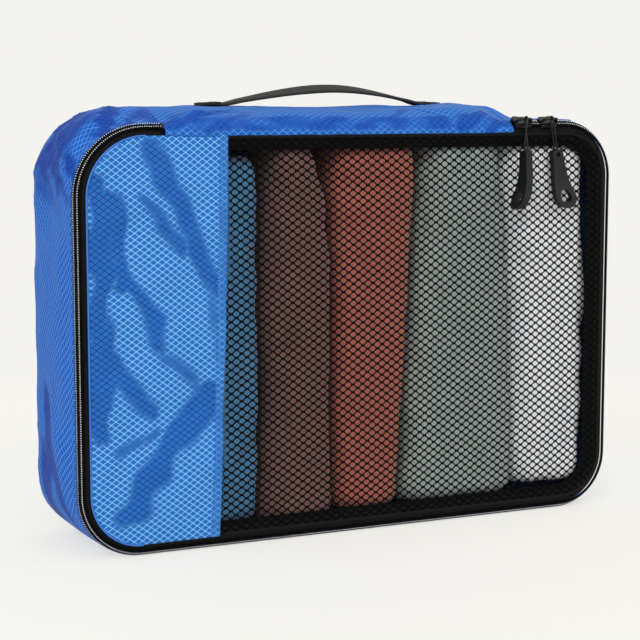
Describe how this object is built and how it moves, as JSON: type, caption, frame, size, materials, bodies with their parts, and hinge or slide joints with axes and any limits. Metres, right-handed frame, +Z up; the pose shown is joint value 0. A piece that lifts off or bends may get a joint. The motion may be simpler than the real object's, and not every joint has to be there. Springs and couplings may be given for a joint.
{
  "type": "packing cube",
  "caption": "Soft rectangular packing cube with a see-through net front that zips open on three sides, two sliders with pulls, and a webbing handle on top.",
  "frame": {"origin": "centre of the flat bottom wall, where the cube stands", "axes": "+X to the right along the width as the front is seen, +Y to the back panel, +Z up to the handle"},
  "size_m": [0.343, 0.0951, 0.259],
  "materials": {
    "ripstop_blue": "coated nylon ripstop with a diamond grid, satin",
    "mesh_black": "knitted net, matt",
    "tape_black": "woven polyester tape, matt",
    "coil_black": "nylon monofilament coil",
    "webbing_black": "ribbed webbing",
    "thread_black": "stitching thread",
    "metal_black": "black enamel",
    "grip_black": "matt moulded rubber"
  },
  "bodies": {
    "shell": {"side_wall": "ripstop_blue", "top_wall": "ripstop_blue", "back_panel": "ripstop_blue", "back_seam_binding": "tape_black", "seam_tape_left": "tape_black", "seam_tape_right": "tape_black", "zip_tape_wall": "tape_black", "zip_coil_wall": "coil_black", "handle_end_left": "webbing_black", "handle_end_right": "webbing_black", "bar_tack_left": "thread_black", "bar_tack_right": "thread_black"},
    "flap": {"front_solid_panel": "ripstop_blue", "front_mesh_panel": "mesh_black", "panel_hem": "ripstop_blue", "flap_seam_binding": "tape_black", "hinge_strip": "ripstop_blue", "zip_tape_flap": "tape_black", "zip_coil_flap": "coil_black", "zip_end_tape": "tape_black", "zip_end_coil": "coil_black", "zip_stop_left": "metal_black", "zip_stop_right": "metal_black"},
    "slider_left": {"slider_left_upper_wing": "metal_black", "slider_left_lower_wing": "metal_black", "slider_left_crown": "metal_black"},
    "slider_right": {"slider_right_upper_wing": "metal_black", "slider_right_lower_wing": "metal_black", "slider_right_crown": "metal_black"},
    "pull_left": {"pull_left_link": "metal_black", "pull_left_tab": "grip_black"},
    "pull_right": {"pull_right_link": "metal_black", "pull_right_tab": "grip_black"},
    "handle": {"handle_strap": "webbing_black"}
  },
  "joints": [
    {"name": "flap_hinge", "type": "hinge", "parent": "shell", "child": "flap", "pos_m": [0, -0.0345, 0.2438], "axis": [-1, 0, 0], "range_deg": [0, 164]},
    {"name": "slider_left_travel", "type": "slide", "parent": "flap", "child": "slider_left", "axis": [1, 0, 0], "range_m": [0, 0.0055]},
    {"name": "slider_right_travel", "type": "hinge", "parent": "flap", "child": "slider_right", "pos_m": [0.1315, 0, 0.199], "axis": [0, 1, 0], "range_deg": [0, 90]},
    {"name": "pull_left_swing", "type": "hinge", "parent": "slider_left", "child": "pull_left", "pos_m": [0.1135, -0.04333, 0.24016], "axis": [-1, 0, 0], "range_deg": [0, 90]},
    {"name": "pull_right_swing", "type": "hinge", "parent": "slider_right", "child": "pull_right", "pos_m": [0.1315, -0.04333, 0.24016], "axis": [-1, 0, 0], "range_deg": [0, 90]},
    {"name": "handle_lift", "type": "slide", "parent": "shell", "child": "handle", "axis": [0, 0, 1], "range_m": [0, 0.008], "stiffness_N_per_m": 150}
  ]
}
